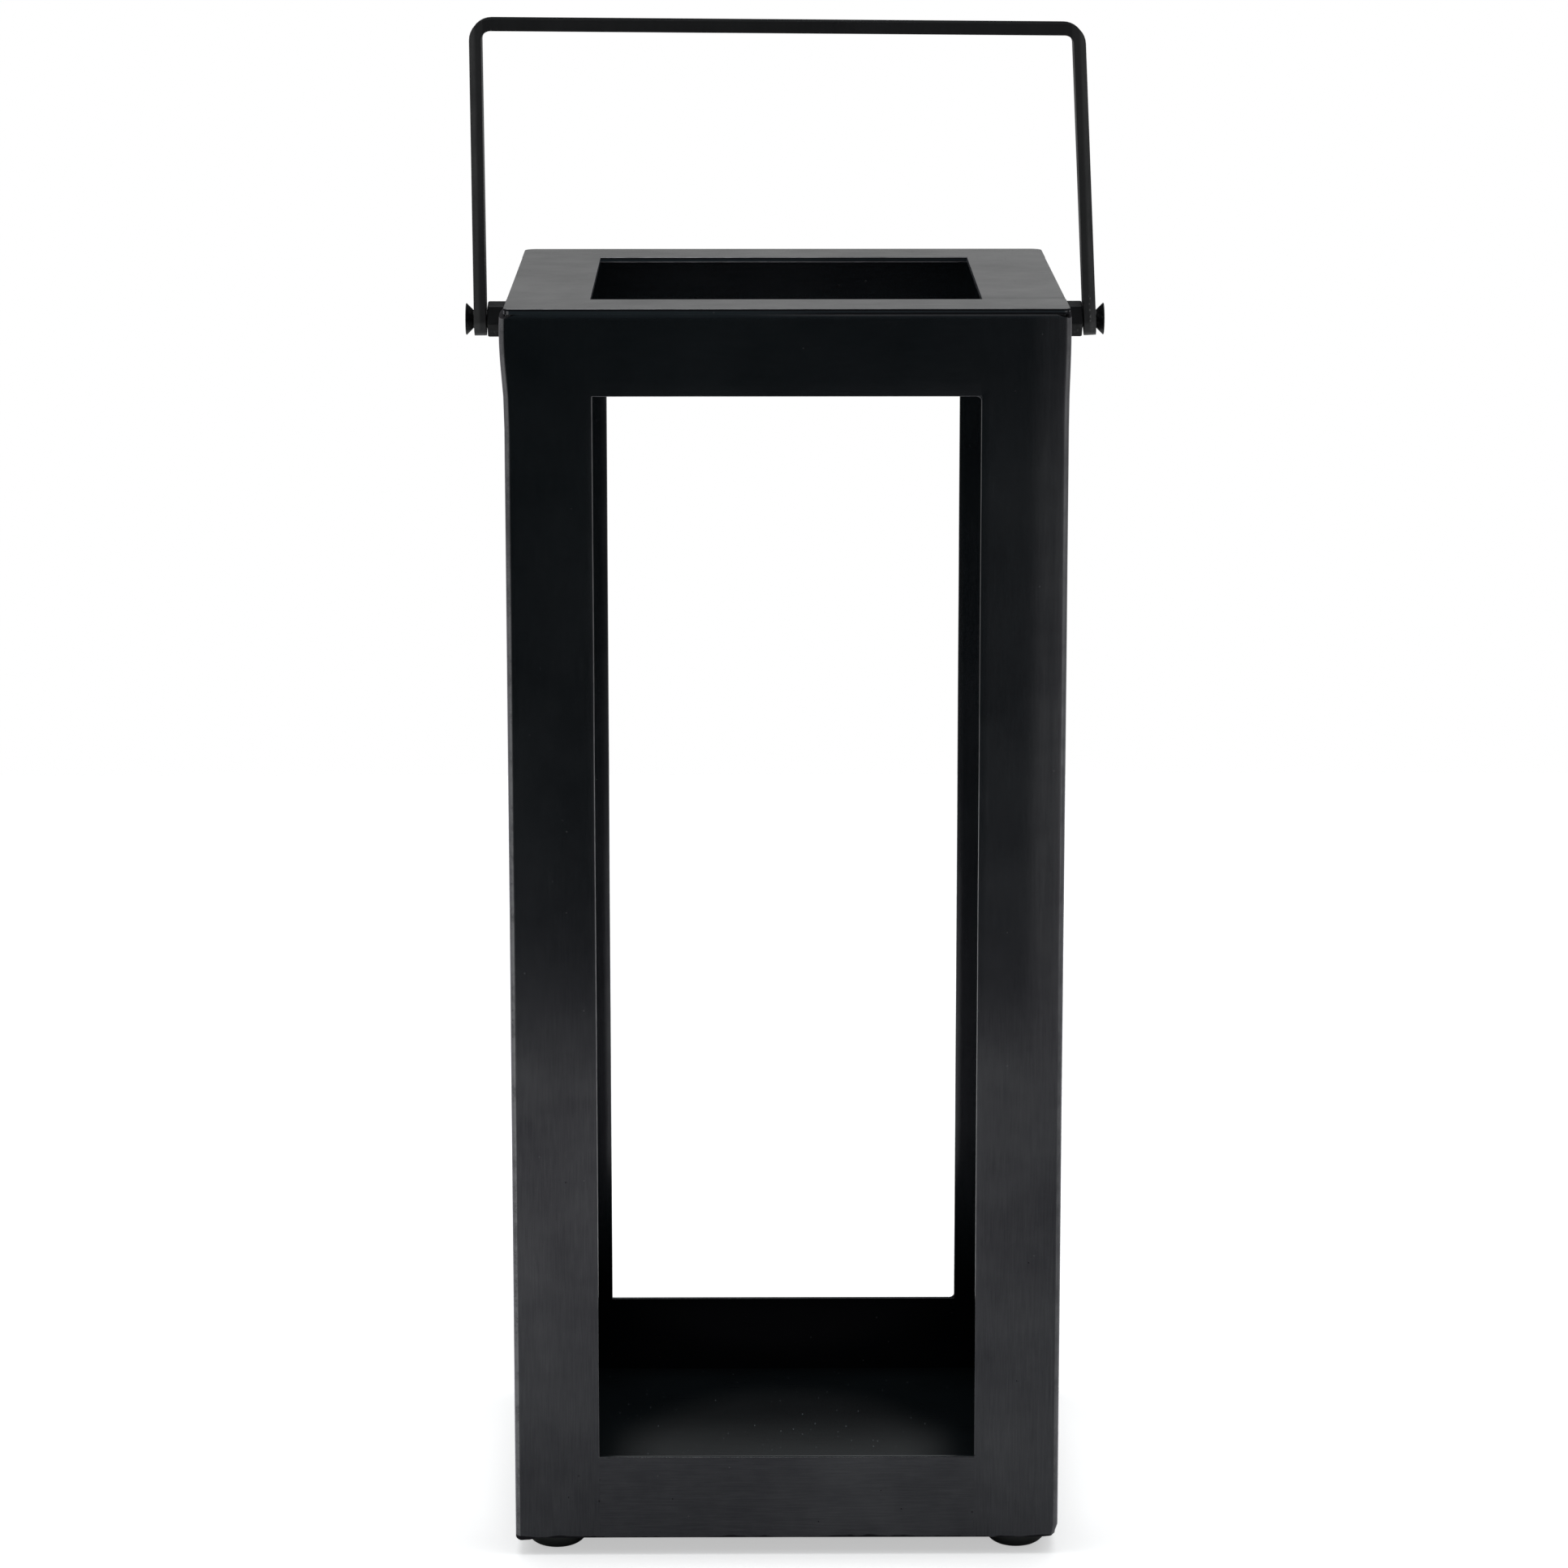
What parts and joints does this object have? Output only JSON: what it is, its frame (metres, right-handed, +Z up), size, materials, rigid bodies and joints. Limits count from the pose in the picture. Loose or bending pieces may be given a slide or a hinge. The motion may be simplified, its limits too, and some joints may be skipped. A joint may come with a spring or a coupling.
{
  "type": "candle lantern",
  "caption": "Tall square candle lantern: a welded black sheet steel frame with open windows and open top, domed feet, and a flat bar handle that swings on side screws.",
  "frame": {"origin": "on the ground, under the centre of the frame", "axes": "+Z up, +X to the right seen from the front, +Y to the back"},
  "size_m": [0.2128, 0.18, 0.5008],
  "materials": {
    "frame_steel": "brushed and blackened, satin",
    "floor_steel": "blackened, speckled with use",
    "handle_steel": "black satin coat",
    "pivot_steel": "black satin coat, worn at the corners",
    "foot_rubber": "soft matt"
  },
  "bodies": {
    "frame": {"front_left_post": "frame_steel", "front_right_post": "frame_steel", "back_left_post": "frame_steel", "back_right_post": "frame_steel", "front_bottom_rail": "frame_steel", "back_bottom_rail": "frame_steel", "left_bottom_rail": "frame_steel", "right_bottom_rail": "frame_steel", "front_top_rail": "frame_steel", "back_top_rail": "frame_steel", "left_top_rail": "frame_steel", "right_top_rail": "frame_steel", "front_top_strip": "frame_steel", "back_top_strip": "frame_steel", "left_top_strip": "frame_steel", "right_top_strip": "frame_steel", "base_plate": "floor_steel", "left_hex_spacer": "pivot_steel", "right_hex_spacer": "pivot_steel", "left_pivot_screw": "pivot_steel", "right_pivot_screw": "pivot_steel", "front_left_foot": "foot_rubber", "front_right_foot": "foot_rubber", "back_left_foot": "foot_rubber", "back_right_foot": "foot_rubber"},
    "handle": {"carry_handle": "handle_steel"}
  },
  "joints": [
    {"name": "handle_swing", "type": "hinge", "parent": "frame", "child": "handle", "pos_m": [0, 0, 0.4012], "axis": [1, 0, 0], "range_deg": [-103, 103]}
  ]
}
